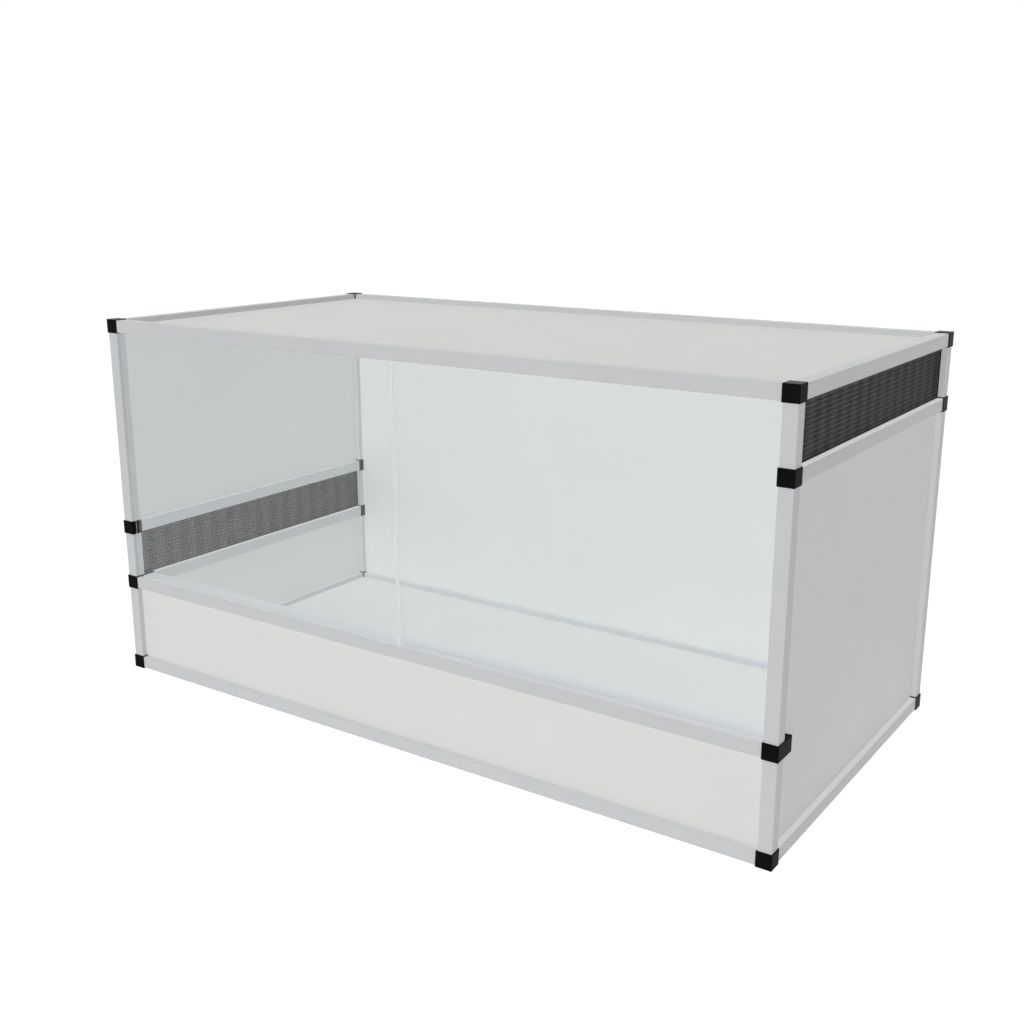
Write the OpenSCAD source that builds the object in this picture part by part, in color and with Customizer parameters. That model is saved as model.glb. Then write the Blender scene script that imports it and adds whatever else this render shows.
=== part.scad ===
// Reptile terrarium: a long cabinet of square aluminium tube on black plug-in connectors, with
// light panels in grooves, two black mesh vents and two glass doors that slide past each other.
// X runs to the right, Y to the back and Z up. The origin is on the ground, below the middle.

/* [Frame] */
// Left post to right post, centre to centre
frame_w = 1200; // [900:10:1600]
// Front post to back post, centre to centre
frame_d = 600; // [400:10:800]
// Bottom rails to top rails, centre to centre
frame_h = 600; // [500:10:900]
// Bottom rails to the sill under the doors, centre to centre
sill_h = 150; // [100:5:200]
// Height of the bay that holds the left vent, rail centre to rail centre
left_vent_h = 100; // [60:5:150]
// Height of the bay that holds the right vent, rail centre to rail centre
right_vent_h = 100; // [60:5:150]

/* [Tube] */
// Outside width of the square tube
tube_w = 20; // [20:0.5:30]
// Wall of the tube
tube_wall = 1.5; // [1:0.1:2]
// Depth of the wide tube under the doors, the sill
sill_d = 40; // [30:1:60]
// Chamfer along the tube's four corners
tube_edge = 0.5; // [0.2:0.1:1]
// Wall of the channels that are drawn into the tube as grooves
rib_t = 1; // [0.8:0.1:1.2]

/* [Connectors] */
// How far a connector's cube stands out from the tube, on each side
cube_proud = 1.5; // [0.5:0.1:4]
// Chamfer along the edges of a cube
cube_edge = 0.5; // [0.2:0.1:1]
// Length of the arm that plugs into a tube
arm_l = 25; // [15:1:35]
// Length of the arm's narrower tip
arm_tip_l = 2; // [1:0.5:4]
// How much the tip is narrower than the arm, on each side
arm_tip_step = 0.6; // [0.3:0.1:1]
// Gap between an arm and the tube around it
arm_gap = 0.1; // [0.05:0.05:0.3]
// Gap between an arm and a channel that passes it
arm_channel_gap = 0.2; // [0.1:0.05:0.5]

/* [Panels] */
// Thickness of the panels
panel_t = 1.5; // [1:0.25:5]
// Depth of the groove that holds a panel's edge
groove_d = 3.5; // [2.5:0.1:4]
// Gap between a panel and the groove, on each side
groove_gap = 0.2; // [0.1:0.05:0.3]
// Gap between a panel's cut corner and the cube there
corner_gap = 0.3; // [0.2:0.1:1]

/* [Vents] */
// Openings in a vent from top to bottom
mesh_rows = 5; // [3:1:6]
// Openings in a vent from front to back
mesh_columns = 36; // [20:1:45]
// Width of the mesh's bars, as a share of the distance from one opening to the next
mesh_bar_share = 0.5; // [0.3:0.05:0.7]
// Thickness of the mesh
mesh_t = 0.5; // [0.5:0.1:2.5]
// How far a vent's thick border shows inside the tubes
border_show = 2; // [2:0.5:4]

/* [Doors] */
// Thickness of the glass
glass_t = 4; // [3:0.5:5]
// Chamfer ground along the edges of the glass
glass_edge = 0.4; // [0.2:0.1:1]
// Running gap around the glass
door_gap = 0.3; // [0.2:0.05:0.5]
// How far the two closed doors lap over each other
door_lap = 2; // [1:1:30]
// Depth that a door stands in the lower track
door_seat = 2.5; // [2:0.1:3]
// Depth that a door reaches into the upper track
door_reach = 2; // [1.5:0.1:2.5]
// Free depth above a door, so that it lifts out of the lower track
door_lift = 2.6; // [2.6:0.1:3]
// Thickness of the tracks' upright fins
fin_t = 1.2; // [1:0.1:1.5]
// Thickness of the tracks' web
web_t = 0.8; // [0.6:0.1:1]
// Gap between a track and the channel that holds it
track_gap = 0.1; // [0.05:0.05:0.2]

/* [Hidden] */

aluminium = [0.78, 0.79, 0.80];
black_plastic = [0.10, 0.10, 0.11];
off_white = [0.84, 0.84, 0.82];
glass_tint = [0.75, 0.85, 0.85, 0.4];

// Small overlap for cuts and for lengths that are joined
eps = 0.5;

// Centre lines of the frame
left = -frame_w / 2;
right = frame_w / 2;
front = -frame_d / 2;
back = frame_d / 2;
cube_w = tube_w + 2 * cube_proud;
half_cube = cube_w / 2;
bottom = half_cube;
top = bottom + frame_h;
sill = bottom + sill_h;
left_vent_top = sill + left_vent_h;
right_vent_bottom = top - right_vent_h;

// The hollow inside the tube and the arm that plugs into it
hollow_w = tube_w - 2 * tube_wall;
arm_w = hollow_w - 2 * arm_gap;
arm_tip_w = arm_w - 2 * arm_tip_step;

// How much deeper the sill is than the tube, and the second hollow behind the first
sill_extra = sill_d - tube_w;
rear_hollow_w = sill_extra - tube_wall;
rear_hollow_y = (tube_w + rear_hollow_w) / 2;

// Tracks: two grooves between three fins
track_w = 2 * (glass_t + 2 * door_gap) + 3 * fin_t;
lower_track_h = web_t + door_gap + door_seat;
upper_track_h = web_t + door_lift + door_reach;

// Channel widths and depths, for a panel, the lower track and the upper track
PANEL = 0;
LOWER = 1;
UPPER = 2;
channel_w = [panel_t + 2 * groove_gap, track_w + 2 * track_gap, track_w + 2 * track_gap];
channel_d = [groove_d, lower_track_h, upper_track_h];

// Directions in a tube's section. Seen along its length, U is X, or Y on a tube that lies
// along X, and V is Z, or Y on a post.
U_PLUS = 0;
V_PLUS = 90;
U_MINUS = 180;
V_MINUS = 270;

// How close a panel's edge comes to the centre line of the tube that holds it
panel_edge = tube_w / 2 - groove_d + groove_gap;
// How close a panel's cut corner comes to the centre lines
panel_corner = half_cube + corner_gap;

// The notch that clears a sill joint, in a side panel or a vent
sill_notch = [front, sill, panel_corner + sill_extra];

// The doors, closed
door_w = frame_w / 2 - half_cube - door_gap + door_lap / 2;
door_bottom = sill + tube_w / 2 - door_seat;
door_top = top - tube_w / 2 + door_reach;
door_step = glass_t + 2 * door_gap + fin_t;

// Carry a section along each axis
module along_x(x0, x1, y, z) {
  translate([x0, y, z]) rotate([90, 0, 90]) linear_extrude(x1 - x0) children();
}

module along_y(y0, y1, x, z) {
  translate([x, y1, z]) rotate([90, 0, 0]) linear_extrude(y1 - y0) children();
}

module along_z(z0, z1, x, y) {
  translate([x, y, z0]) linear_extrude(z1 - z0) children();
}

// A strip of the section on its U plus side, from a distance off the centre outwards
module side_strip(from, to, width) {
  translate([from, -width / 2]) square([to - from, width]);
}

// Section of a tube. Each channel is [direction, kind]. A wide tube is deeper on its U plus side
// and has a second hollow there.
module tube_section(channels, wide = false) {
  extra = wide ? sill_extra : 0;
  difference() {
    union() {
      difference() {
        translate([extra / 2, 0]) chamfered_square(tube_w + extra, tube_w, tube_edge);
        square(hollow_w, center = true);
        if (wide) translate([rear_hollow_y, 0]) square([rear_hollow_w, hollow_w], center = true);
      }
      for (c = channels)
        rotate(c[0])
          side_strip(tube_w / 2 - channel_d[c[1]] - rib_t, tube_w / 2, channel_w[c[1]] + 2 * rib_t);
    }
    for (c = channels)
      rotate(c[0])
        side_strip(tube_w / 2 - channel_d[c[1]], tube_w / 2 + eps, channel_w[c[1]]);
  }
}

// Section of a connector's arm, cut away where the tube's channels pass it
module arm_section(width, door_channels) {
  difference() {
    square(width, center = true);
    for (turn = [U_PLUS, V_PLUS, U_MINUS, V_MINUS]) rotate(turn) arm_cut(PANEL);
    for (c = door_channels) rotate(c[0]) arm_cut(c[1]);
  }
}

module arm_cut(kind) {
  depth = channel_d[kind] + rib_t + arm_channel_gap;
  width = channel_w[kind] + 2 * (rib_t + arm_channel_gap);
  side_strip(tube_w / 2 - depth, tube_w / 2, kind == PANEL ? width : tube_w);
}

// A rail along X or Y and a post along Z, from cube to cube
module rail_x(y, z, channels, wide = false) {
  color(aluminium) along_x(left + half_cube, right - half_cube, y, z)
    tube_section(channels, wide);
}

module rail_y(x, z, channels, start = front) {
  color(aluminium) along_y(start + half_cube, back - half_cube, x, z) tube_section(channels);
}

module post(x, y, z0, z1, channels) {
  color(aluminium) along_z(z0 + half_cube, z1 - half_cube, x, y) tube_section(channels);
}

// Rectangle with its four corners cut, and a box around the origin with its twelve edges cut
module chamfered_square(a, b, c) {
  polygon([[c - a / 2, -b / 2], [a / 2 - c, -b / 2], [a / 2, c - b / 2], [a / 2, b / 2 - c],
           [a / 2 - c, b / 2], [c - a / 2, b / 2], [-a / 2, b / 2 - c], [-a / 2, c - b / 2]]);
}

module chamfered_box(size, c) {
  intersection() {
    along_x(-size[0] / 2, size[0] / 2, 0, 0) chamfered_square(size[1], size[2], c);
    along_y(-size[1] / 2, size[1] / 2, 0, 0) chamfered_square(size[0], size[2], c);
    along_z(-size[2] / 2, size[2] / 2, 0, 0) chamfered_square(size[0], size[1], c);
  }
}

// Two lengths of one arm: the full section, which starts inside the cube, and the tip
module arm(axis, way, door_channels) {
  arm_piece(axis, way, half_cube - eps, half_cube + arm_l - arm_tip_l, arm_w, door_channels);
  arm_piece(axis, way, half_cube + arm_l - arm_tip_l - eps, half_cube + arm_l, arm_tip_w,
            door_channels);
}

module arm_piece(axis, way, from, to, width, door_channels) {
  low = way > 0 ? from : -to;
  high = way > 0 ? to : -from;
  if (axis == "x") along_x(low, high, 0, 0) arm_section(width, door_channels);
  if (axis == "y") along_y(low, high, 0, 0) arm_section(width, door_channels);
  if (axis == "z") along_z(low, high, 0, 0) arm_section(width, door_channels);
}

// The plain second arm of a sill joint, which fills the sill's rear hollow
module rear_arm(way) {
  rear_arm_piece(way, half_cube - eps, half_cube + arm_l - arm_tip_l, arm_gap);
  rear_arm_piece(way, half_cube + arm_l - arm_tip_l - eps, half_cube + arm_l,
                 arm_gap + arm_tip_step);
}

module rear_arm_piece(way, from, to, gap) {
  low = way > 0 ? from : -to;
  high = way > 0 ? to : -from;
  along_x(low, high, rear_hollow_y, 0)
    square([rear_hollow_w - 2 * gap, hollow_w - 2 * gap], center = true);
}

// A connector at a crossing of centre lines. Each arm is [axis, way, door channels it passes].
module connector(x, y, z, arms) {
  color(black_plastic) translate([x, y, z]) union() {
    chamfered_box([cube_w, cube_w, cube_w], cube_edge);
    for (a = arms) arm(a[0], a[1], a[2]);
  }
}

// A connector at a corner of the frame, with its arms towards the middle
module corner(x, y, z, door_channels = []) {
  connector(x, y, z, [["x", -sign(x), door_channels], ["y", -sign(y), []],
                      ["z", z == top ? -1 : 1, []]]);
}

// Outline of a panel between four centre lines, with its corners cut clear of the cubes and a
// notch for each middle cube that it passes. Each notch is [side, height, reach past the centre].
module panel_outline(u0, u1, v0, v1, notches = []) {
  difference() {
    translate([u0 + panel_edge, v0 + panel_edge])
      square([u1 - u0 - 2 * panel_edge, v1 - v0 - 2 * panel_edge]);
    for (u = [u0, u1], v = [v0, v1])
      translate([u, v]) square(2 * panel_corner, center = true);
    for (n = notches)
      translate([n[0], n[1]]) square([2 * n[2], 2 * panel_corner], center = true);
  }
}

module flat_panel(z, u0, u1, v0, v1) {
  color(off_white) along_z(z - panel_t / 2, z + panel_t / 2, 0, 0) panel_outline(u0, u1, v0, v1);
}

module side_panel(x, z0, z1, notches = []) {
  color(off_white) along_x(x - panel_t / 2, x + panel_t / 2, 0, 0)
    panel_outline(front, back, z0, z1, notches);
}

module upright_panel(y, z0, z1, notches = []) {
  color(off_white) along_y(y - panel_t / 2, y + panel_t / 2, 0, 0)
    panel_outline(left, right, z0, z1, notches);
}

// A vent: a thin sheet with square openings, thicker along its edges to fill the grooves and
// around each notch
module vent(x, z0, z1, notches = []) {
  border = tube_w / 2 + border_show;
  field_w = frame_d - 2 * border;
  field_h = z1 - z0 - 2 * border;
  step_u = field_w / mesh_columns;
  step_v = field_h / mesh_rows;
  color(black_plastic) union() {
    along_x(x - panel_t / 2, x + panel_t / 2, 0, 0) difference() {
      panel_outline(front, back, z0, z1, notches);
      difference() {
        translate([front + border, z0 + border]) square([field_w, field_h]);
        for (n = notches)
          translate([n[0], n[1]])
            square(2 * [n[2] + border_show, panel_corner + border_show], center = true);
      }
    }
    along_x(x - mesh_t / 2, x + mesh_t / 2, 0, 0) difference() {
      panel_outline(front, back, z0, z1, notches);
      for (i = [0 : mesh_columns - 1], j = [0 : mesh_rows - 1])
        translate([front + border + (i + mesh_bar_share / 2) * step_u,
                   z0 + border + (j + mesh_bar_share / 2) * step_v])
          square([(1 - mesh_bar_share) * step_u, (1 - mesh_bar_share) * step_v]);
    }
  }
}

// Section of a track, with its web at V zero and its fins standing to a height
module track_section(height) {
  translate([-track_w / 2, 0]) square([track_w, web_t]);
  for (i = [-1, 0, 1])
    translate([i * door_step - fin_t / 2, 0]) square([fin_t, height]);
}

module track(z, height, way) {
  color(aluminium) along_x(left + half_cube + door_gap, right - half_cube - door_gap, front, z)
    scale([1, way]) track_section(height);
}

// A glass door, from its left edge, in the groove on one side of the centre line
module door(x, groove) {
  color(glass_tint)
    translate([x + door_w / 2, front + groove * door_step / 2, (door_bottom + door_top) / 2])
      chamfered_box([door_w, glass_t, door_top - door_bottom], glass_edge);
}

module front_bottom_rail() { rail_x(front, bottom, [[V_PLUS, PANEL], [U_PLUS, PANEL]]); }
module front_sill_rail() { rail_x(front, sill, [[V_MINUS, PANEL], [V_PLUS, LOWER]], true); }
module front_top_rail() { rail_x(front, top, [[V_MINUS, UPPER], [U_PLUS, PANEL]]); }
module back_bottom_rail() { rail_x(back, bottom, [[V_PLUS, PANEL], [U_MINUS, PANEL]]); }
module back_top_rail() { rail_x(back, top, [[V_MINUS, PANEL], [U_MINUS, PANEL]]); }

module left_bottom_rail() { rail_y(left, bottom, [[V_PLUS, PANEL], [U_PLUS, PANEL]]); }
module left_sill_rail() {
  rail_y(left, sill, [[V_MINUS, PANEL], [V_PLUS, PANEL]], front + sill_extra);
}
module left_vent_rail() { rail_y(left, left_vent_top, [[V_MINUS, PANEL], [V_PLUS, PANEL]]); }
module left_top_rail() { rail_y(left, top, [[V_MINUS, PANEL], [U_PLUS, PANEL]]); }
module right_bottom_rail() { rail_y(right, bottom, [[V_PLUS, PANEL], [U_MINUS, PANEL]]); }
module right_vent_rail() { rail_y(right, right_vent_bottom, [[V_MINUS, PANEL], [V_PLUS, PANEL]]); }
module right_top_rail() { rail_y(right, top, [[V_MINUS, PANEL], [U_MINUS, PANEL]]); }

module left_front_post_lower() {
  post(left, front, bottom, sill, [[U_PLUS, PANEL], [V_PLUS, PANEL]]);
}
module left_front_post_middle() { post(left, front, sill, left_vent_top, [[V_PLUS, PANEL]]); }
module left_front_post_upper() { post(left, front, left_vent_top, top, [[V_PLUS, PANEL]]); }
module left_back_post_lower() {
  post(left, back, bottom, sill, [[U_PLUS, PANEL], [V_MINUS, PANEL]]);
}
module left_back_post_middle() {
  post(left, back, sill, left_vent_top, [[U_PLUS, PANEL], [V_MINUS, PANEL]]);
}
module left_back_post_upper() {
  post(left, back, left_vent_top, top, [[U_PLUS, PANEL], [V_MINUS, PANEL]]);
}
module right_front_post_lower() {
  post(right, front, bottom, sill, [[U_MINUS, PANEL], [V_PLUS, PANEL]]);
}
module right_front_post_middle() {
  post(right, front, sill, right_vent_bottom, [[V_PLUS, PANEL]]);
}
module right_front_post_upper() { post(right, front, right_vent_bottom, top, [[V_PLUS, PANEL]]); }
module right_back_post_lower() {
  post(right, back, bottom, right_vent_bottom, [[U_MINUS, PANEL], [V_MINUS, PANEL]]);
}
module right_back_post_upper() {
  post(right, back, right_vent_bottom, top, [[U_MINUS, PANEL], [V_MINUS, PANEL]]);
}

module corner_left_front_bottom() { corner(left, front, bottom); }
module corner_right_front_bottom() { corner(right, front, bottom); }
module corner_left_back_bottom() { corner(left, back, bottom); }
module corner_right_back_bottom() { corner(right, back, bottom); }
module corner_left_front_top() { corner(left, front, top, [[V_MINUS, UPPER]]); }
module corner_right_front_top() { corner(right, front, top, [[V_MINUS, UPPER]]); }
module corner_left_back_top() { corner(left, back, top); }
module corner_right_back_top() { corner(right, back, top); }

// An end of the sill: a body as deep as the sill, with two arms into it and one into each length
// of post. The left one also has an arm to the back, for the side rail.
module sill_joint(x, side_rail) {
  color(black_plastic) translate([x, front, sill]) union() {
    translate([0, sill_extra / 2, 0])
      chamfered_box([cube_w, cube_w + sill_extra, cube_w], cube_edge);
    arm("z", 1, []);
    arm("z", -1, []);
    arm("x", -sign(x), [[V_PLUS, LOWER]]);
    rear_arm(-sign(x));
    if (side_rail) translate([0, sill_extra, 0]) arm("y", 1, []);
  }
}
module sill_joint_left_front() { sill_joint(left, true); }
module sill_joint_right_front() { sill_joint(right, false); }
module sill_joint_left_back() { side_joint(left, back, sill); }
module vent_joint_left_front() { side_joint(left, front, left_vent_top); }
module vent_joint_left_back() { side_joint(left, back, left_vent_top); }
module vent_joint_right_front() { side_joint(right, front, right_vent_bottom); }
module vent_joint_right_back() { side_joint(right, back, right_vent_bottom); }

// A connector between two lengths of post, with one arm for a side rail
module side_joint(x, y, z) {
  connector(x, y, z, [["z", 1, []], ["z", -1, []], ["y", -sign(y), []]]);
}

module floor_panel() { flat_panel(bottom, left, right, front, back); }
module roof_panel() { flat_panel(top, left, right, front, back); }
module back_panel() {
  upright_panel(back, bottom, top,
                [[left, sill, panel_corner], [left, left_vent_top, panel_corner],
                 [right, right_vent_bottom, panel_corner]]);
}
module front_lower_panel() { upright_panel(front, bottom, sill); }
module left_lower_panel() { side_panel(left, bottom, sill, [sill_notch]); }
module left_upper_panel() { side_panel(left, left_vent_top, top); }
module right_panel() { side_panel(right, bottom, right_vent_bottom, [sill_notch]); }
module left_vent() { vent(left, sill, left_vent_top, [sill_notch]); }
module right_vent() { vent(right, right_vent_bottom, top); }

module lower_track() { track(sill + tube_w / 2 - lower_track_h, lower_track_h, 1); }
module upper_track() { track(top - tube_w / 2 + upper_track_h, upper_track_h, -1); }
module left_door() { door(left + half_cube + door_gap, -1); }
module right_door() { door(right - half_cube - door_gap - door_w, 1); }

front_bottom_rail();
front_sill_rail();
front_top_rail();
back_bottom_rail();
back_top_rail();
left_bottom_rail();
left_sill_rail();
left_vent_rail();
left_top_rail();
right_bottom_rail();
right_vent_rail();
right_top_rail();
left_front_post_lower();
left_front_post_middle();
left_front_post_upper();
left_back_post_lower();
left_back_post_middle();
left_back_post_upper();
right_front_post_lower();
right_front_post_middle();
right_front_post_upper();
right_back_post_lower();
right_back_post_upper();
corner_left_front_bottom();
corner_right_front_bottom();
corner_left_back_bottom();
corner_right_back_bottom();
corner_left_front_top();
corner_right_front_top();
corner_left_back_top();
corner_right_back_top();
sill_joint_left_front();
sill_joint_right_front();
sill_joint_left_back();
vent_joint_left_front();
vent_joint_left_back();
vent_joint_right_front();
vent_joint_right_back();
floor_panel();
roof_panel();
back_panel();
front_lower_panel();
left_lower_panel();
left_upper_panel();
right_panel();
left_vent();
right_vent();
lower_track();
upper_track();
left_door();
right_door();
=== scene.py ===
# %% [markdown]
# # A reptile terrarium
# The real object is a long glass-fronted cabinet. Lengths of square aluminium tube plug onto black
# plastic connectors, light panels slide into grooves in the tube, two strips of black perforated
# sheet let air through, and two panes of glass slide past each other in the front.
#
# Everything that has a size was drawn in the CAD model, and it arrives here in the right place. So
# this script has three jobs: to give each part its finish, to make the fine perforated sheet that
# was only hinted at in CAD, and to set up a camera and a light like those in the photograph.

# %% Load the fixed frame
import math

import bmesh
import bpy
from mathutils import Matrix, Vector


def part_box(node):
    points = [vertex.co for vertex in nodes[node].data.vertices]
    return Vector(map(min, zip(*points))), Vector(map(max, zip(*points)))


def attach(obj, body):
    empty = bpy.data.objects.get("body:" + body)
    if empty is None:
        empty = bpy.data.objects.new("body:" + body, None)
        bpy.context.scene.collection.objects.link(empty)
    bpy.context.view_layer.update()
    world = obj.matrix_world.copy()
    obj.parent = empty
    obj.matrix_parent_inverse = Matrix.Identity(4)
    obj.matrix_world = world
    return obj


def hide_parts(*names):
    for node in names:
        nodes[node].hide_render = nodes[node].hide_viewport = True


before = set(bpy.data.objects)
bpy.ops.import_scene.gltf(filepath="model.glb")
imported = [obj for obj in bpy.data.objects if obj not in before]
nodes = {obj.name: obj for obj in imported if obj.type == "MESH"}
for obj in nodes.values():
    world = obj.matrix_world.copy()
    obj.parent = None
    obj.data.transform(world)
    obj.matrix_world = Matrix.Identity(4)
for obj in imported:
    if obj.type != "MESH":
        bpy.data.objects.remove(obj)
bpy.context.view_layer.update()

# %% [markdown]
# ## The camera
# The camera comes first, because every choice after it is judged through it. Its place and lens
# were worked out from the corners of the cabinet in the photograph: it stands to the front right,
# a little above the roof, and the lens is a mild telephoto.

# %% Camera
CAMERA_PLACE = (1.1286, -1.6485, 0.8465)
CAMERA_TURN = (math.radians(75.007), 0, math.radians(34.402))
SENSOR_WIDTH_MM = 36
LENS_MM = 43.456

camera_data = bpy.data.cameras.new("camera")
camera_data.sensor_width = SENSOR_WIDTH_MM
camera_data.lens = LENS_MM
camera = bpy.data.objects.new("camera", camera_data)
camera.location = CAMERA_PLACE
camera.rotation_euler = CAMERA_TURN
bpy.context.scene.collection.objects.link(camera)
bpy.context.scene.camera = camera
bpy.context.scene.view_settings.view_transform = "Standard"
print("camera:", [round(v, 3) for v in camera.location], " lens:", camera_data.lens, "mm")

# %% [markdown]
# ## A short way to write node trees
# A material in Blender is a small graph of nodes. Each node takes three or four lines to make by
# hand: add it, set its options, fill its inputs, link them. The first helper does it in one call,
# where an input is either a plain value or the output of another node, which it then links. The
# second does the same for the node that is used most, **Math**.

# %% Helpers that add nodes, groups and materials
def add(tree, kind, inputs=None, **options):
    """A new node with its options set and its inputs filled or linked."""
    node = tree.nodes.new(kind)
    for name, value in options.items():
        setattr(node, name, value)
    for name, value in (inputs or {}).items():
        if isinstance(value, bpy.types.NodeSocket):
            tree.links.new(value, node.inputs[name])
        else:
            node.inputs[name].default_value = value
    return node


def maths(tree, operation, *values, **options):
    """The result of a Math node, such as the product of two values for MULTIPLY."""
    node = add(tree, "ShaderNodeMath", dict(enumerate(values)), operation=operation, **options)
    return node.outputs[0]


def new_group(name, kind, inputs, outputs):
    """A node group with named sockets. Each input is (name, socket type, default)."""
    group = bpy.data.node_groups.new(name, kind)
    for label, socket_type, default in inputs:
        socket = group.interface.new_socket(label, in_out="INPUT", socket_type=socket_type)
        if default is not None:
            socket.default_value = default
    for label, socket_type in outputs:
        group.interface.new_socket(label, in_out="OUTPUT", socket_type=socket_type)
    return group, group.nodes.new("NodeGroupInput"), group.nodes.new("NodeGroupOutput")


def new_material(name):
    """A material with its node tree and the Principled shader that Blender puts in it."""
    material = bpy.data.materials.new(name)
    material.use_nodes = True
    return material, material.node_tree, material.node_tree.nodes["Principled BSDF"]


# %% [markdown]
# ## Two effects that several finishes share
# Up close no surface is quite even. Drawn metal has fine streaks along its length, moulded plastic
# has a faint grain, and a painted sheet has the soft dimples of orange peel. All of these are the
# same noise, stretched or squeezed, so they are one node group, **grain**. It reads the object's
# own coordinates in metres, so its size is a real one and it stays put when a door slides.
#
# The second group, **soft edge**, asks how far the surface turns within a short distance. It gives
# a mask that is bright along edges, which the finishes use for a painted highlight, a lighter
# colour along each edge, and a normal that rounds the sharp corner of the CAD mesh, so that edges
# catch a thin line of light.

# %% Node group: grain
NOISE_ROUGHNESS = 0.55

grain, grain_in, grain_out = new_group(
    "grain", "ShaderNodeTree",
    [("Per Metre", "NodeSocketVector", (1000, 1000, 1000)),
     ("Detail", "NodeSocketFloat", 2.0),
     ("Seed", "NodeSocketVector", (0, 0, 0))],
    [("Value", "NodeSocketFloat")])
place = add(grain, "ShaderNodeTexCoord").outputs["Object"]
stretched = add(grain, "ShaderNodeMapping", {
    "Vector": place, "Location": grain_in.outputs["Seed"], "Scale": grain_in.outputs["Per Metre"]})
noise = add(grain, "ShaderNodeTexNoise", {
    "Vector": stretched.outputs["Vector"], "Scale": 1.0, "Detail": grain_in.outputs["Detail"],
    "Roughness": NOISE_ROUGHNESS})
grain.links.new(noise.outputs["Fac"], grain_out.inputs["Value"])
print("group:", grain.name, [s.name for s in grain.interface.items_tree])

# %% Node group: soft edge
BEVEL_SAMPLES = 4

soft_edge, edge_in, edge_out = new_group(
    "soft edge", "ShaderNodeTree",
    [("Radius", "NodeSocketFloat", 0.0005), ("Contrast", "NodeSocketFloat", 4.0)],
    [("Mask", "NodeSocketFloat"), ("Normal", "NodeSocketVector")])
rounded = add(soft_edge, "ShaderNodeBevel", {"Radius": edge_in.outputs["Radius"]},
              samples=BEVEL_SAMPLES)
flat = add(soft_edge, "ShaderNodeNewGeometry")
likeness = add(soft_edge, "ShaderNodeVectorMath", {
    0: rounded.outputs["Normal"], 1: flat.outputs["Normal"]}, operation="DOT_PRODUCT")
turned = maths(soft_edge, "SUBTRACT", 1.0, likeness.outputs["Value"])
mask = maths(soft_edge, "MULTIPLY", turned, edge_in.outputs["Contrast"], use_clamp=True)
soft_edge.links.new(mask, edge_out.inputs["Mask"])
soft_edge.links.new(rounded.outputs["Normal"], edge_out.inputs["Normal"])
print("group:", soft_edge.name, [s.name for s in soft_edge.interface.items_tree])


# %% Helpers that place the groups in a material
def use_grain(tree, per_metre, detail=2.0, seed=0.0):
    """The grain group's value, with so many bumps per metre, or a list of them for X, Y and Z."""
    if not isinstance(per_metre, list):
        per_metre = [per_metre] * 3
    node = add(tree, "ShaderNodeGroup", node_tree=grain)
    node.inputs["Per Metre"].default_value = per_metre
    node.inputs["Detail"].default_value = detail
    node.inputs["Seed"].default_value = (seed, seed, seed)
    return node.outputs["Value"]


def use_soft_edge(tree, radius, contrast):
    """The soft edge group's mask and normal."""
    node = add(tree, "ShaderNodeGroup", node_tree=soft_edge)
    node.inputs["Radius"].default_value = radius
    node.inputs["Contrast"].default_value = contrast
    return node.outputs["Mask"], node.outputs["Normal"]


def spread(tree, value, low, high, from_low=0.3, from_high=0.7):
    """Stretches a value to a new range. A noise is nearly always between 0.3 and 0.7."""
    return add(tree, "ShaderNodeMapRange", {
        "Value": value, "From Min": from_low, "From Max": from_high,
        "To Min": low, "To Max": high}).outputs["Result"]


def blend_colours(tree, share, first, second):
    """The first colour where the share is 0, the second where it is 1. Sockets 6 and 7 are theirs."""
    return add(tree, "ShaderNodeMix", {0: share, 6: first, 7: second},
               data_type="RGBA", clamp_factor=True).outputs[2]


def add_bump(tree, shader, height, depth, strength, normal=None):
    """Roughens a shader's surface by a height, on top of another normal if there is one."""
    inputs = {"Height": height, "Distance": depth, "Strength": strength}
    if normal:
        inputs["Normal"] = normal
    bump = add(tree, "ShaderNodeBump", inputs)
    tree.links.new(bump.outputs["Normal"], shader.inputs["Normal"])


# %% [markdown]
# ## Aluminium tube
# The tube is drawn and then anodised, which leaves a thick satin coat. In the photograph its faces
# are almost even in tone, with no reflections, so the shader is mostly a pale matt one with only a
# small share of metal. A **sheen** adds the haze that brightens a face seen at a flat angle, such
# as the tops of the rails. Fine streaks run along each tube, so the same recipe is made three
# times, for tubes along X, Y and Z. The tracks get a lighter one, which is painted light: they lie
# in a groove, and the lighter tone makes up for its shade.
#
# In the photograph the tops of four rails shine paler than the rest, most of all where a rail
# carries a vent. So these rails get painted light on top: a paler tone that stands in for the light
# which the vent and the parts round them keep from their tops. The mask for it is how far the
# surface faces up, which is the same from wherever the camera looks.

# %% Material: drawn aluminium, one for each direction
ALUMINIUM = (0.60, 0.604, 0.616, 1)
ALUMINIUM_BLUE = (0.57, 0.586, 0.604, 1)
# The bright tone serves the streaks and the painted highlight along the edges.
ALUMINIUM_BRIGHT = (0.66, 0.67, 0.68, 1)
# Painted light: the tracks are lighter than the tube, to make up for the shade in their groove.
TRACK_COLOUR = (0.710, 0.707, 0.707, 1)
TRACK_SHADE = (0.695, 0.692, 0.692, 1)
TRACK_BRIGHT = (0.730, 0.727, 0.727, 1)
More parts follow.
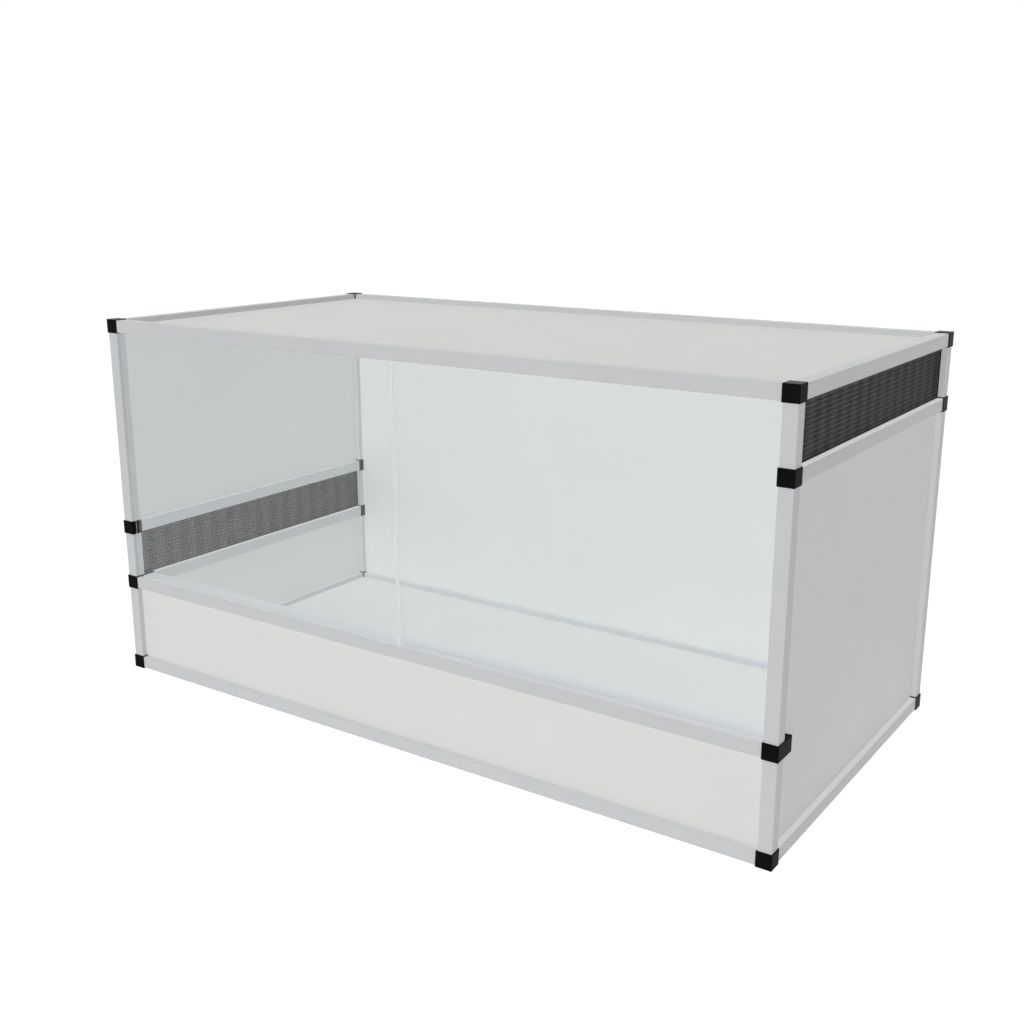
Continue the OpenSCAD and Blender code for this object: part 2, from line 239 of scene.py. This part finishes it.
# Painted light: the paler tone painted on the top faces of these rails.
PAINTED_TOP_LIGHT = {"right_vent_rail": (0.96, 0.96, 0.96, 1), "left_sill_rail": (0.80, 0.81, 0.82, 1),
             "right_bottom_rail": (0.70, 0.70, 0.71, 1), "front_sill_rail": (0.69, 0.70, 0.72, 1)}
METAL_SHARE = 0.1
ANODISED_SHINE = 0.02
ANODISED_HAZE = 0.8
HAZE_ROUGHNESS = 0.2
TUBE_ROUGHNESS = (0.42, 0.52)
PATCH_ROUGHNESS = 0.03
PATCHES_PER_METRE = 5
STREAKS_ACROSS = 2600
STREAKS_ALONG = 14
STREAK_SHARE = 0.5
STREAK_DEPTH = 0.00005
TUBE_EDGE = 0.0006


def axis_of(rail):
    """0 for a rail that runs along X, 1 for one that runs along Y."""
    return 0 if rail.startswith(("front", "back")) else 1


def drawn_aluminium(name, axis, colour, shade, bright, top=None):
    """A drawn tube's finish, streaked along X, Y or Z (axis 0, 1 or 2), with painted light on top or
    not.
    """
    material, tree, shader = new_material(name)
    per_metre = [STREAKS_ACROSS] * 3
    per_metre[axis] = STREAKS_ALONG
    streaks = use_grain(tree, per_metre, detail=3.0)
    patches = use_grain(tree, PATCHES_PER_METRE, seed=5.0)
    edge_highlight, normal = use_soft_edge(tree, TUBE_EDGE, contrast=3.0)
    tone = blend_colours(tree, spread(tree, patches, 0.0, 1.0), colour, shade)
    tone = blend_colours(tree, spread(tree, streaks, 0.0, STREAK_SHARE), tone, bright)
    # Painted highlight: a lighter colour along the edges.
    tone = blend_colours(tree, edge_highlight, tone, bright)
    # Painted light: faces that look up blend to the paler top tone.
    if top:
        upward = add(tree, "ShaderNodeSeparateXYZ", {
            "Vector": add(tree, "ShaderNodeTexCoord").outputs["Normal"]}).outputs["Z"]
        tone = blend_colours(tree, spread(tree, upward, 0.0, 1.0), tone, top)
    rough = maths(tree, "ADD", spread(tree, streaks, *TUBE_ROUGHNESS),
                  spread(tree, patches, -PATCH_ROUGHNESS, PATCH_ROUGHNESS))
    tree.links.new(tone, shader.inputs["Base Color"])
    tree.links.new(rough, shader.inputs["Roughness"])
    add_bump(tree, shader, streaks, STREAK_DEPTH, strength=0.12, normal=normal)
    shader.inputs["Metallic"].default_value = METAL_SHARE
    shader.inputs["Specular IOR Level"].default_value = ANODISED_SHINE
    shader.inputs["Sheen Weight"].default_value = ANODISED_HAZE
    shader.inputs["Sheen Roughness"].default_value = HAZE_ROUGHNESS
    return material


TUBE_TONES = (ALUMINIUM, ALUMINIUM_BLUE, ALUMINIUM_BRIGHT)
tube_finish = [drawn_aluminium(f"drawn aluminium along {letter}", axis, *TUBE_TONES)
               for axis, letter in enumerate("XYZ")]
track_finish = drawn_aluminium("track aluminium", 0, TRACK_COLOUR, TRACK_SHADE, TRACK_BRIGHT)
painted_top_light_finish = {
    rail: drawn_aluminium(f"drawn aluminium of {rail}", axis_of(rail), *TUBE_TONES, top)
    for rail, top in PAINTED_TOP_LIGHT.items()}
print("finishes:", [m.name for m in tube_finish], track_finish.name, list(painted_top_light_finish))

# %% [markdown]
# ## Black moulded plastic
# The connectors are moulded in black nylon. It is not pure black: its grain breaks up the
# reflection, so the top of a cube, seen at a flat angle under a bright room, looks grey. That
# comes from the shader by itself, as long as the roughness and the strength of the reflection are
# right. A painted highlight makes a little of the colour lighter along the edges.

# %% Material: black plastic
PLASTIC_BLACK = (0.005, 0.005, 0.0055, 1)
PLASTIC_GREY = (0.008, 0.008, 0.0085, 1)
# Painted highlight: the lighter colour along the edges, and how much of it.
PLASTIC_EDGE_HIGHLIGHT = (0.015, 0.015, 0.016, 1)
EDGE_HIGHLIGHT_SHARE = 0.5
PLASTIC_ROUGHNESS = (0.18, 0.26)
PLASTIC_SHINE = 0.009
PLASTIC_EDGE = 0.0007
PORE_DEPTH = 0.0001

black_plastic, tree, shader = new_material("black moulded plastic")
pores = use_grain(tree, per_metre=1800)
cloud = use_grain(tree, per_metre=60, seed=3.0)
edge_highlight, normal = use_soft_edge(tree, PLASTIC_EDGE, contrast=4.0)
tone = blend_colours(tree, spread(tree, cloud, 0.0, 1.0), PLASTIC_BLACK, PLASTIC_GREY)
# Painted highlight along the edges.
tone = blend_colours(tree, spread(tree, edge_highlight, 0.0, EDGE_HIGHLIGHT_SHARE, 0.0, 1.0), tone, PLASTIC_EDGE_HIGHLIGHT)
tree.links.new(tone, shader.inputs["Base Color"])
tree.links.new(spread(tree, pores, *PLASTIC_ROUGHNESS), shader.inputs["Roughness"])
add_bump(tree, shader, pores, PORE_DEPTH, strength=0.25, normal=normal)
shader.inputs["Specular IOR Level"].default_value = PLASTIC_SHINE
print("finish:", black_plastic.name)

# %% [markdown]
# ## Light panels
# The panels are thin stiff sheets with a matt coat. They fill most of the picture, so their colour
# matters more than any other: a warm white that is clearly darker than paper. Faint clouds in the
# colour and a fine orange peel keep them from looking like bare computer surfaces. The floor of the
# cabinet is the same board with a darker pair of colours, which is painted shade: the light inside
# the cabin would show it brighter than the other panels.

# %% Material: off-white panel
PANEL_COLOUR = (0.745, 0.748, 0.735, 1)
PANEL_SHADE = (0.730, 0.733, 0.720, 1)
# Painted shade: a darker pair of colours for the same board.
FLOOR_BOARD_COLOUR = (0.675, 0.678, 0.672, 1)
FLOOR_BOARD_SHADE = (0.660, 0.663, 0.657, 1)
PANEL_ROUGHNESS = (0.46, 0.58)
PANEL_SHINE = 0.08
PEEL_DEPTH = 0.0001


def coated_board(name, colour, shade):
    """A matt coat with soft clouds of two colours and an orange peel."""
    material, tree, shader = new_material(name)
    peel = use_grain(tree, per_metre=420)
    cloud = use_grain(tree, per_metre=9, detail=3.0, seed=7.0)
    tone = blend_colours(tree, spread(tree, cloud, 0.0, 1.0), shade, colour)
    tree.links.new(tone, shader.inputs["Base Color"])
    tree.links.new(spread(tree, peel, *PANEL_ROUGHNESS), shader.inputs["Roughness"])
    add_bump(tree, shader, peel, PEEL_DEPTH, strength=0.15)
    shader.inputs["Specular IOR Level"].default_value = PANEL_SHINE
    return material


panel_finish = coated_board("off-white panel", PANEL_COLOUR, PANEL_SHADE)
shaded_floor_board = coated_board("off-white floor board with painted shade", FLOOR_BOARD_COLOUR, FLOOR_BOARD_SHADE)
print("finishes:", panel_finish.name, "and", shaded_floor_board.name)

# %% [markdown]
# ## Clear glass
# Each door is a real pane, 4 mm thick, with two faces that bend and mirror light. That is what
# lays a pale veil over everything inside, as in the photograph. Light that has to reach the inside
# through a bending surface would need thousands of samples, so for rays that only carry light, from
# a lamp or from one wall to another, the glass is plain and see-through.
#
# The edges of a pane are ground, so they scatter light instead of bending it. The material finds
# them by the direction that the surface faces: the two large faces look along Y and an edge
# doesn't. Without this the line where the doors overlap would be almost black. Only the end of a
# pane that stands close against a post is clear, so that the post shows through it, because the
# photograph has no line there.

# %% Material: clear glass
GLASS_TINT = (0.945, 0.985, 1.0, 1)
GLASS_PASS = (0.985, 0.995, 1.0, 1)
GLASS_BENDING = 1.5
SMEAR_ROUGHNESS = 0.012
EDGE_COLOUR = (0.93, 0.97, 0.96, 1)
EDGE_ROUGHNESS = 0.45
FLAT_ENOUGH = 0.9
MEETING_REACH = 0.3

glass, tree, shader = new_material("clear glass")
smears = use_grain(tree, per_metre=5, detail=3.0, seed=11.0)
tree.links.new(spread(tree, smears, 0.0, SMEAR_ROUGHNESS), shader.inputs["Roughness"])
shader.inputs["Base Color"].default_value = GLASS_TINT
shader.inputs["Transmission Weight"].default_value = 1.0
shader.inputs["IOR"].default_value = GLASS_BENDING
passing = add(tree, "ShaderNodeBsdfTransparent", {"Color": GLASS_PASS})
path = add(tree, "ShaderNodeLightPath")
for_lamps = add(tree, "ShaderNodeMixShader", {
    0: path.outputs["Is Shadow Ray"], 1: shader.outputs["BSDF"], 2: passing.outputs["BSDF"]})
for_walls = add(tree, "ShaderNodeMixShader", {
    0: path.outputs["Is Diffuse Ray"], 1: for_lamps.outputs["Shader"], 2: passing.outputs["BSDF"]})
ground = add(tree, "ShaderNodeBsdfPrincipled", {
    "Base Color": EDGE_COLOUR, "Roughness": EDGE_ROUGHNESS})
where = add(tree, "ShaderNodeTexCoord").outputs
turned = add(tree, "ShaderNodeSeparateXYZ", {"Vector": where["Normal"]}).outputs
sideways = add(tree, "ShaderNodeSeparateXYZ", {"Vector": where["Object"]}).outputs["X"]


def compared(value, operation, limit):
    """1 where the size of a value, whatever its sign, is less or greater than the limit."""
    return maths(tree, operation, maths(tree, "ABSOLUTE", value), limit)


on_edge = compared(turned["Y"], "LESS_THAN", FLAT_ENOUGH)
at_post = maths(tree, "MULTIPLY", compared(turned["X"], "GREATER_THAN", FLAT_ENOUGH),
                compared(sideways, "GREATER_THAN", MEETING_REACH))
edge = add(tree, "ShaderNodeMixShader", {
    0: at_post, 1: ground.outputs["BSDF"], 2: passing.outputs["BSDF"]})
whole = add(tree, "ShaderNodeMixShader", {
    0: on_edge, 1: for_walls.outputs["Shader"], 2: edge.outputs["Shader"]})
tree.links.new(whole.outputs["Shader"], tree.nodes["Material Output"].inputs["Surface"])
print("finish:", glass.name, "with", len(tree.nodes), "nodes")

# %% [markdown]
# ## Black perforated sheet
# The vents are sheet steel with a black powder coat. In the photograph the sheet is not one even
# grey: it has upright bands, every other one a little lighter, and finer level rows between them.
# Both are regular, so each comes from the cosine of a place in metres. The sum of the two cosines
# and a little dust choose between a darker and a lighter black. The same two cosines, as a height
# in metres, tell the **Bump** node that the sheet is very slightly wavy.

# %% Material: coated sheet
SHEET_DARK = (0.002, 0.002, 0.002, 1)
SHEET_LIGHT = (0.035, 0.035, 0.036, 1)
SHEET_ROUGHNESS = (0.42, 0.56)
SHEET_SHINE = 0.05
BAND_LENGTH = 0.0375
ROW_HEIGHT = 0.35 / 55
FIRST_ROW = 0.1719
BAND_SHARPNESS = 2.5
BAND_PART = 0.14
ROW_PART = 0.30
DUST_PART = 0.08
BAND_DEPTH = 0.0002
ROW_DEPTH = 0.00022
SHEET_PORE_DEPTH = 0.0001


def wave(tree, place, length, size, sharp=1.0):
    """A cosine of the place, lowest at zero, from minus to plus size. Sharp squares it off."""
    swing = maths(tree, "COSINE", maths(tree, "MULTIPLY", place, 2 * math.pi / length))
    return spread(tree, swing, size, -size, -1.0 / sharp, 1.0 / sharp)


coated_sheet, tree, shader = new_material("black coated sheet")
where = add(tree, "ShaderNodeSeparateXYZ", {
    "Vector": add(tree, "ShaderNodeTexCoord").outputs["Object"]}).outputs
pores = use_grain(tree, per_metre=2400)
dust = use_grain(tree, per_metre=35, detail=3.0, seed=2.0)
share = spread(tree, dust, 0.5 - DUST_PART, 0.5 + DUST_PART)
up = maths(tree, "SUBTRACT", where["Z"], FIRST_ROW)
for part in (wave(tree, where["Y"], BAND_LENGTH, BAND_PART, sharp=BAND_SHARPNESS),
             wave(tree, up, ROW_HEIGHT, ROW_PART)):
    share = maths(tree, "ADD", share, part)
tree.links.new(blend_colours(tree, share, SHEET_DARK, SHEET_LIGHT), shader.inputs["Base Color"])
tree.links.new(spread(tree, pores, *SHEET_ROUGHNESS), shader.inputs["Roughness"])
height = maths(tree, "ADD", wave(tree, where["Y"], BAND_LENGTH, BAND_DEPTH),
               wave(tree, up, ROW_HEIGHT, ROW_DEPTH))
waved = add(tree, "ShaderNodeBump", {"Strength": 1.0, "Distance": 1.0, "Height": height})
add_bump(tree, shader, pores, SHEET_PORE_DEPTH, strength=0.2, normal=waved.outputs["Normal"])
shader.inputs["Specular IOR Level"].default_value = SHEET_SHINE
print("finish:", coated_sheet.name, "with", len(tree.nodes), "nodes")

# %% [markdown]
# ## Dress the CAD parts
# A CAD part keeps its own mesh. Only the material in its slot changes, and the part's name says
# which one it gets.


# %% Give each CAD part its finish
def finish_for(name):
    """The finish of a CAD part, by the part's name."""
    # Rails with painted light on top.
    if name in painted_top_light_finish:
        return painted_top_light_finish[name]
    if name.endswith("_rail"):
        return tube_finish[axis_of(name)]
    if "_post_" in name:
        return tube_finish[2]
    if name.endswith("_track"):
        return track_finish
    # The floor panel gets the board with painted shade.
    if name == "floor_panel":
        return shaded_floor_board
    if name.endswith("_panel"):
        return panel_finish
    if name.endswith("_door"):
        return glass
    if name.endswith("_vent"):
        return coated_sheet
    return black_plastic


dressed = {}
for name, part in nodes.items():
    for slot in part.material_slots:
        slot.material = finish_for(name)
    dressed.setdefault(finish_for(name).name, []).append(name)
for finish, names in dressed.items():
    print(f"{finish}: {len(names)} parts")

# %% [markdown]
# ## The perforated vents
# A vent has more than four thousand square holes, each under a millimetre wide. Drawing them one
# by one is out of the question, and a picture of holes would not let light or the background
# through. **Geometry Nodes** make them from a rule:
#
# 1. start from a flat grid with one face for each hole,
# 2. extrude each face by nothing and shrink the new one, so that a frame is left round it,
# 3. delete the shrunk face, which is the hole,
# 4. extrude the sheet to its thickness, and close its back with a flipped copy.
#
# How far a face shrinks is a **field**: it is worked out for each face from the face's own place.
# Holes in every other upright band are a little wider, and so are those in every other row, which
# gives the sheet the same bands and rows that its coat has. The sizes are named inputs, so the
# same tree makes a coarser or a finer sheet.

# %% Geometry Nodes tree: perforated sheet
MERGE_WITHIN = 0.00001

perforated, sheet_in, sheet_out = new_group(
    "perforated sheet", "GeometryNodeTree",
    [("Border", "NodeSocketGeometry", None),
     ("Length", "NodeSocketFloat", 0.576),
     ("Height", "NodeSocketFloat", 0.076),
     ("Holes Along", "NodeSocketInt", 93),
     ("Holes Up", "NodeSocketInt", 12),
     ("Hole Share", "NodeSocketFloat", 0.4),
     ("Band Length", "NodeSocketFloat", 0.0375),
     ("Band Step", "NodeSocketFloat", 0.01),
     ("Row Step", "NodeSocketFloat", 0.01),
     ("Thickness", "NodeSocketFloat", 0.0005),
     ("Place", "NodeSocketVector", (0, 0, 0)),
     ("Finish", "NodeSocketMaterial", None)],
    [("Vent", "NodeSocketGeometry")])
given = sheet_in.outputs
corners = [maths(perforated, "ADD", given[name], 1) for name in ("Holes Along", "Holes Up")]
grid = add(perforated, "GeometryNodeMeshGrid", {
    "Size X": given["Length"], "Size Y": given["Height"],
    "Vertices X": corners[0], "Vertices Y": corners[1]})
cells = add(perforated, "GeometryNodeExtrudeMesh", {
    "Mesh": grid.outputs["Mesh"], "Offset Scale": 0.0, "Individual": True}, mode="FACES")


def either_way(place, length, operation):
    """Minus one or plus one, by the sign of a sine or cosine of the place."""
    turns = maths(perforated, "DIVIDE", maths(perforated, "MULTIPLY", place, 2 * math.pi), length)
    return maths(perforated, "SIGN", maths(perforated, operation, turns))


spot = add(perforated, "ShaderNodeSeparateXYZ", {
    "Vector": add(perforated, "GeometryNodeInputPosition").outputs["Position"]}).outputs
one_row = maths(perforated, "DIVIDE", given["Height"], given["Holes Up"])
two_rows = maths(perforated, "MULTIPLY", one_row, 2.0)
dark_bands = maths(perforated, "MULTIPLY", given["Band Step"],
                   either_way(spot["X"], given["Band Length"], "COSINE"))
light_rows = maths(perforated, "MULTIPLY", given["Row Step"],
                   either_way(spot["Y"], two_rows, "SINE"))
hole_scale = maths(perforated, "SUBTRACT", given["Hole Share"], dark_bands)
hole_scale = maths(perforated, "ADD", hole_scale, light_rows)
shrunk = add(perforated, "GeometryNodeScaleElements", {
    "Geometry": cells.outputs["Mesh"], "Selection": cells.outputs["Top"],
    "Scale": hole_scale}, domain="FACE")
holed = add(perforated, "GeometryNodeDeleteGeometry", {
    "Geometry": shrunk.outputs["Geometry"], "Selection": cells.outputs["Top"]},
    domain="FACE", mode="ONLY_FACE")
raised = add(perforated, "GeometryNodeExtrudeMesh", {
    "Mesh": holed.outputs["Geometry"], "Offset": (0, 0, 1), "Offset Scale": given["Thickness"],
    "Individual": False}, mode="FACES")
backed = add(perforated, "GeometryNodeFlipFaces", {"Mesh": holed.outputs["Geometry"]})
both = add(perforated, "GeometryNodeJoinGeometry")
for part in (raised.outputs["Mesh"], backed.outputs["Mesh"]):
    perforated.links.new(part, both.inputs["Geometry"])
closed = add(perforated, "GeometryNodeMergeByDistance", {
    "Geometry": both.outputs["Geometry"], "Distance": MERGE_WITHIN})
half_down = maths(perforated, "MULTIPLY", given["Thickness"], -0.5)
sunk = add(perforated, "ShaderNodeCombineXYZ", {"Z": half_down})
centred = add(perforated, "GeometryNodeTransform", {
    "Geometry": closed.outputs["Geometry"], "Translation": sunk.outputs["Vector"]})
upright = add(perforated, "GeometryNodeTransform", {
    "Geometry": centred.outputs["Geometry"], "Translation": given["Place"],
    "Rotation": (math.radians(90), 0, math.radians(90))})
joined = add(perforated, "GeometryNodeJoinGeometry")
for part in (upright.outputs["Geometry"], given["Border"]):
    perforated.links.new(part, joined.inputs["Geometry"])
real = add(perforated, "GeometryNodeRealizeInstances", {"Geometry": joined.outputs["Geometry"]})
coated = add(perforated, "GeometryNodeSetMaterial", {
    "Geometry": real.outputs["Geometry"], "Material": given["Finish"]})
perforated.links.new(coated.outputs["Geometry"], sheet_out.inputs["Vent"])
print("tree:", perforated.name, len(perforated.nodes), "nodes")

# %% [markdown]
# The sheet's edge is folded into a thicker border, which fills the groove of the tube. The border
# is a plain frame shape, so a few lines of **bmesh** draw its outer and inner outlines, fill the
# space between them and extrude it. Its corners are cut, as in CAD, to clear the connectors. The
# left vent stands on the deep end of the sill, so its lower front corner is cut further back.

# %% Border of a vent
BORDER_W = 0.0053
BORDER_SHOWS = 0.002
CORNER_CUT = 0.0051
SILL_REACH = 0.020


def border_mesh(name, low, high, reach):
    """A frame round a box that is thin along X. Reach deepens the cut of its lower front corner."""
    y0, z0, y1, z1, cut = low.y, low.z, high.y, high.z, CORNER_CUT
    near = y0 + cut + reach
    outer = [(near, z0), (y1 - cut, z0), (y1 - cut, z0 + cut), (y1, z0 + cut),
             (y1, z1 - cut), (y1 - cut, z1 - cut), (y1 - cut, z1), (y0 + cut, z1),
             (y0 + cut, z1 - cut), (y0, z1 - cut), (y0, z0 + cut), (near, z0 + cut)]
    inner = [(y1 - BORDER_W, z0 + BORDER_W), (y1 - BORDER_W, z1 - BORDER_W),
             (y0 + BORDER_W, z1 - BORDER_W)]
    if reach:
        lip, end = z0 + cut + BORDER_SHOWS, near + BORDER_SHOWS
        inner += [(y0 + BORDER_W, lip), (end, lip), (end, z0 + BORDER_W)]
    else:
        inner += [(y0 + BORDER_W, z0 + BORDER_W)]
    mesh = bpy.data.meshes.new(name)
    bm = bmesh.new()
    for outline in (outer, inner):
        ring = [bm.verts.new((low.x, y, z)) for y, z in outline]
        for a, b in zip(ring, ring[1:] + ring[:1]):
            bm.edges.new((a, b))
    bmesh.ops.triangle_fill(bm, edges=bm.edges[:], use_beauty=True)
    raised = bmesh.ops.extrude_face_region(bm, geom=bm.faces[:])["geom"]
    moved = [v for v in raised if isinstance(v, bmesh.types.BMVert)]
    bmesh.ops.translate(bm, verts=moved, vec=(high.x - low.x, 0, 0))
    bmesh.ops.recalc_face_normals(bm, faces=bm.faces[:])
    bm.to_mesh(mesh)
    bm.free()
    return mesh


# %% [markdown]
# Each vent is then made where its CAD part stands. The modifier's result is turned into a plain
# mesh, so that what is kept is the sheet itself and not the recipe.

# %% Make both vents
HOLE_PITCH = ROW_HEIGHT / 2
HOLE_SHARE = 0.267
BAND_STEP = 0.016
ROW_STEP = 0.018
SHEET_T = 0.00025


def make_vent(name, node, reach):
    """Puts a perforated sheet with its border in the place of a CAD part."""
    low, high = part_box(node)
    length = high.y - low.y - 2 * BORDER_W
    height = high.z - low.z - 2 * BORDER_W
    maker = bpy.data.objects.new(name + ".maker", border_mesh(name + ".border", low, high, reach))
    bpy.context.scene.collection.objects.link(maker)
    modifier = maker.modifiers.new("perforated sheet", "NODES")
    modifier.node_group = perforated
    values = {"Length": length, "Height": height,
              "Holes Along": round(length / HOLE_PITCH), "Holes Up": round(height / HOLE_PITCH),
              "Hole Share": HOLE_SHARE, "Band Length": BAND_LENGTH, "Band Step": BAND_STEP,
              "Row Step": ROW_STEP, "Thickness": SHEET_T,
              "Place": (low + high) / 2, "Finish": coated_sheet}
    for socket in perforated.interface.items_tree:
        if socket.name in values:
            modifier[socket.identifier] = values[socket.name]
    evaluated = maker.evaluated_get(bpy.context.evaluated_depsgraph_get())
    vent = bpy.data.objects.new(name, bpy.data.meshes.new_from_object(evaluated))
    bpy.context.scene.collection.objects.link(vent)
    bpy.data.objects.remove(maker)
    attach(vent, "cabinet")
    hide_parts(node)
    print(f"{name}: {values['Holes Along']} by {values['Holes Up']} holes,",
          len(vent.data.polygons), "faces")


make_vent("left_vent_sheet", "left_vent", SILL_REACH)
make_vent("right_vent_sheet", "right_vent", 0)

# %% [markdown]
# ## Floor and light
# The photograph was taken on plain white with light from all round, so nothing casts a hard
# shadow. The world gives even light from every side, and the little shade where parts meet. Four
# very wide sun lamps set how bright each side is: the front, the right side, the top, and the
# inside, which is lit from behind. They cast no shadow, or the roof would darken the whole cabin.
# They are also hidden from mirror-like rays and from the glass, because no lamp shows in the
# photographed surfaces, and a lamp that glass reflects only now and then leaves bright specks.
#
# The background is white without more light on the object: the **Light Path** node tells rays that
# the camera sends, directly or through glass, from rays that carry light to a surface. Only the
# first kind see pure white.

# %% World
WORLD_LEVEL = 0.32


def seeing_rays(tree):
    """1 for rays that show the background to the camera, directly, by a mirror or through glass."""
    path = add(tree, "ShaderNodeLightPath")
    share = path.outputs["Is Camera Ray"]
    for kind in ("Is Transmission Ray", "Is Glossy Ray"):
        share = maths(tree, "MAXIMUM", share, path.outputs[kind])
    return share


world = bpy.data.worlds.new("studio")
bpy.context.scene.world = world
world.use_nodes = True
tree = world.node_tree
lighting = tree.nodes["Background"]
lighting.inputs["Color"].default_value = (1, 1, 1, 1)
lighting.inputs["Strength"].default_value = WORLD_LEVEL
white = add(tree, "ShaderNodeBackground", {"Color": (1, 1, 1, 1), "Strength": 1.0})
mixed = add(tree, "ShaderNodeMixShader", {
    0: seeing_rays(tree), 1: lighting.outputs["Background"], 2: white.outputs["Background"]})
tree.links.new(mixed.outputs["Shader"], tree.nodes["World Output"].inputs["Surface"])
print("world:", world.name, " strength:", WORLD_LEVEL)

# %% [markdown]
# The floor is a wide plain sheet just under the object. As the camera sees it, most of its white is
# its own glow and a little is lit, so that the shade round the object still shows faintly. To the
# rays that carry light it is an ordinary matt white floor, which throws light back at the object.

# %% Floor
FLOOR_SIZE = 60
FLOOR_DROP = 0.0002
FLOOR_COLOUR = (0.82, 0.82, 0.82, 1)
FLOOR_ROUGHNESS = 0.9
FLOOR_LIT = (0.3, 0.3, 0.3, 1)
FLOOR_GLOW = 0.80

floor_mesh = bpy.data.meshes.new("floor")
side = FLOOR_SIZE / 2
floor_mesh.from_pydata([(-side, -side, -FLOOR_DROP), (side, -side, -FLOOR_DROP),
                        (side, side, -FLOOR_DROP), (-side, side, -FLOOR_DROP)], [], [(0, 1, 2, 3)])
floor = bpy.data.objects.new("floor", floor_mesh)
bpy.context.scene.collection.objects.link(floor)
floor_finish, tree, shader = new_material("white floor")
shader.inputs["Base Color"].default_value = FLOOR_COLOUR
shader.inputs["Roughness"].default_value = FLOOR_ROUGHNESS
shader.inputs["Specular IOR Level"].default_value = 0.0
dimmed = add(tree, "ShaderNodeBsdfDiffuse", {"Color": FLOOR_LIT})
glow = add(tree, "ShaderNodeEmission", {"Color": (1, 1, 1, 1), "Strength": FLOOR_GLOW})
shown = add(tree, "ShaderNodeAddShader", {0: dimmed.outputs["BSDF"], 1: glow.outputs["Emission"]})
mixed = add(tree, "ShaderNodeMixShader", {
    0: seeing_rays(tree), 1: shader.outputs["BSDF"], 2: shown.outputs["Shader"]})
tree.links.new(mixed.outputs["Shader"], tree.nodes["Material Output"].inputs["Surface"])
floor_mesh.materials.append(floor_finish)
print("floor:", FLOOR_SIZE, "metres wide")

# %% [markdown]
# Each lamp is a strength and the direction that its light comes from. A sun lamp lights everything
# from the same side, wherever it stands, so only its turn matters and not its place.

# %% Lamps
LAMPS = {
    "soft front light": (1.19, (0, -1, 0)),
    "soft side light": (0.29, (1, 0, 0)),
    "soft top light": (0.88, (0, 0, 1)),
    "soft back light": (1.60, (-0.6, 0.75, 0.3)),
}
LAMP_ANGLE = math.radians(60)

for name, (level, comes_from) in LAMPS.items():
    lamp_data = bpy.data.lights.new(name, "SUN")
    lamp_data.energy = level
    lamp_data.angle = LAMP_ANGLE
    lamp_data.use_shadow = False
    lamp_data.cycles.use_multiple_importance_sampling = False
    lamp = bpy.data.objects.new(name, lamp_data)
    lamp.visible_glossy = False
    lamp.visible_transmission = False
    lamp.rotation_euler = Vector(comes_from).to_track_quat("Z", "Y").to_euler()
    bpy.context.scene.collection.objects.link(lamp)
    print("lamp:", name, " strength:", level)
